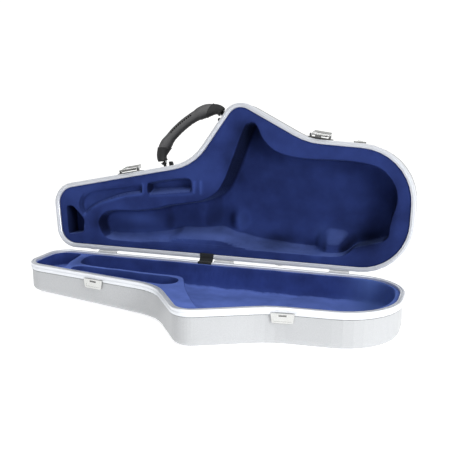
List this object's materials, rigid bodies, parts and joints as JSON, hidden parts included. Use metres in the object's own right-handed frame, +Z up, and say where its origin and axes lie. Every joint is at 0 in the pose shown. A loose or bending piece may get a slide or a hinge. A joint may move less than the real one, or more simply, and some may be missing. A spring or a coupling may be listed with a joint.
{
  "type": "alto saxophone case",
  "caption": "Shaped hard case for an alto saxophone: shallow lid and deep case body on a spine hinge, metal rims, draw latches, moulded plush compartments and a bowed leather handle.",
  "frame": {"origin": "centre of the open case's box, on the floor", "axes": "+X runs along the hinge from the neck end to the bell end, -Y is the front with the lid's opening edge, +Z is up"},
  "size_m": [0.6612, 0.406, 0.3431],
  "materials": {
    "rim_aluminium": "satin",
    "silver_shell": "satin",
    "blue_plush": "matte",
    "nickel_plate": "polished",
    "bright_steel": "satin",
    "black_leather": "satin",
    "black_webbing": "matte",
    "black_rubber": "matte",
    "black_plastic": "satin"
  },
  "bodies": {
    "lid": {"lid_shell": "silver_shell", "lid_rim": "rim_aluminium", "lid_lining": "blue_plush", "lid_hinge_leaf_1": "bright_steel", "lid_hinge_leaf_2": "bright_steel", "lid_hinge_leaf_3": "bright_steel", "hinge_pin_1": "bright_steel", "hinge_pin_2": "bright_steel", "hinge_pin_3": "bright_steel", "hinge_stay_strap": "black_webbing", "lid_foot_1": "black_rubber", "lid_foot_2": "black_rubber", "keeper_left": "nickel_plate", "keeper_right": "nickel_plate"},
    "case_body": {"body_shell": "silver_shell", "body_rim": "rim_aluminium", "body_lining": "blue_plush", "body_hinge_leaf_1": "bright_steel", "body_hinge_leaf_2": "bright_steel", "body_hinge_leaf_3": "bright_steel", "body_foot_1": "black_rubber", "body_foot_2": "black_rubber", "latch_left_base": "nickel_plate", "latch_left_left_rivet": "bright_steel", "latch_left_right_rivet": "bright_steel", "latch_right_base": "nickel_plate", "latch_right_left_rivet": "bright_steel", "latch_right_right_rivet": "bright_steel", "handle_low_bracket": "black_plastic", "handle_high_bracket": "black_plastic", "strap_ring_clip": "nickel_plate"},
    "left_lever": {"latch_left_lever": "nickel_plate", "latch_left_claw_pin": "bright_steel"},
    "left_claw": {"latch_left_claw": "nickel_plate"},
    "right_lever": {"latch_right_lever": "nickel_plate", "latch_right_claw_pin": "bright_steel"},
    "right_claw": {"latch_right_claw": "nickel_plate"},
    "handle": {"handle_low_loop": "bright_steel", "handle_high_loop": "bright_steel", "handle_low_sleeve": "black_leather", "handle_high_sleeve": "black_leather", "handle_grip": "black_leather"},
    "strap_ring": {"strap_ring": "nickel_plate"}
  },
  "joints": [
    {"name": "case_hinge", "type": "hinge", "parent": "lid", "child": "case_body", "pos_m": [0.00077, 0.08074, 0.062], "axis": [1, 0, 0], "range_deg": [0, 97.74], "deforming": ["hinge_stay_strap"]},
    {"name": "left_lever_swing", "type": "hinge", "parent": "case_body", "child": "left_lever", "pos_m": [-0.18998, 0.11119, 0.21178], "axis": [-0.9754, -0.0297, -0.2182], "range_deg": [-85, 9]},
    {"name": "left_claw_swing", "type": "hinge", "parent": "left_lever", "child": "left_claw", "pos_m": [-0.19007, 0.12021, 0.21097], "axis": [-0.9754, -0.0297, -0.2182], "range_deg": [-9, 85]},
    {"name": "right_lever_swing", "type": "hinge", "parent": "case_body", "child": "right_lever", "pos_m": [0.15871, 0.12212, 0.29217], "axis": [-0.994, 0.0148, 0.1086], "range_deg": [-85, 9]},
    {"name": "right_claw_swing", "type": "hinge", "parent": "right_lever", "child": "right_claw", "pos_m": [0.15876, 0.13114, 0.29137], "axis": [-0.994, 0.0148, 0.1086], "range_deg": [-9, 85]},
    {"name": "handle_swing", "type": "hinge", "parent": "case_body", "child": "handle", "pos_m": [-0.0765, 0.13948, 0.27138], "axis": [0.7455, 0.0898, 0.6604], "range_deg": [-35, 35]},
    {"name": "strap_ring_swing", "type": "hinge", "parent": "case_body", "child": "strap_ring", "pos_m": [0.22663, 0.12948, 0.28323], "axis": [0.9993, -0.0052, -0.038], "range_deg": [0, 100]}
  ],
  "couplings": [
    {"joint": "left_claw_swing", "follows": "left_lever_swing", "ratio": -1},
    {"joint": "right_claw_swing", "follows": "right_lever_swing", "ratio": -1}
  ]
}
